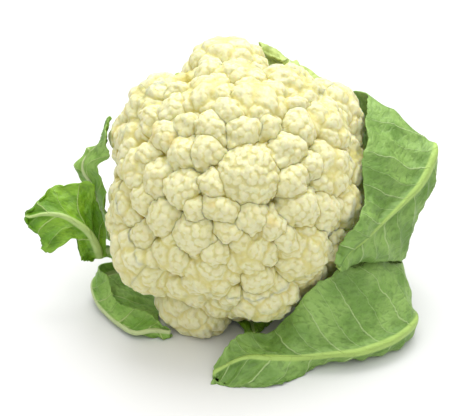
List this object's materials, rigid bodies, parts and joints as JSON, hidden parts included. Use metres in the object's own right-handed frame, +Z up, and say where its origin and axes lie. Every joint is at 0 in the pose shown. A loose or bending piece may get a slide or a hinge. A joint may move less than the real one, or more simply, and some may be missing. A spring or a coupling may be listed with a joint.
{
  "type": "cauliflower",
  "caption": "Trimmed head of cauliflower lying on its side: a cream curd of clustered florets on a cut stalk, with green leaves folded round it.",
  "frame": {"origin": "on the surface the head lies on, under the middle of its box", "axes": "+Z up, +X along its longest side, from the left leaf's tip to the right leaves; the curd faces -Y and a little up, and the cut stalk is at +Y"},
  "size_m": [0.257, 0.1811, 0.1682],
  "materials": {
    "curd": "matte, moist",
    "stalk": "matte, fibrous at the cut",
    "outer_leaf": "waxy satin",
    "leaf": "waxy satin",
    "pale_leaf": "waxy satin"
  },
  "bodies": {
    "root": {"curd": "curd", "stalk": "stalk", "leaf_right_upper": "outer_leaf", "leaf_right_lower": "outer_leaf", "leaf_left": "leaf", "leaf_left_lower": "leaf", "leaf_left_upper": "leaf", "leaf_top": "pale_leaf", "leaf_top_left": "pale_leaf", "leaf_under": "leaf", "leaf_stub_1": "pale_leaf", "leaf_stub_2": "pale_leaf", "leaf_stub_3": "pale_leaf"}
  },
  "joints": []
}
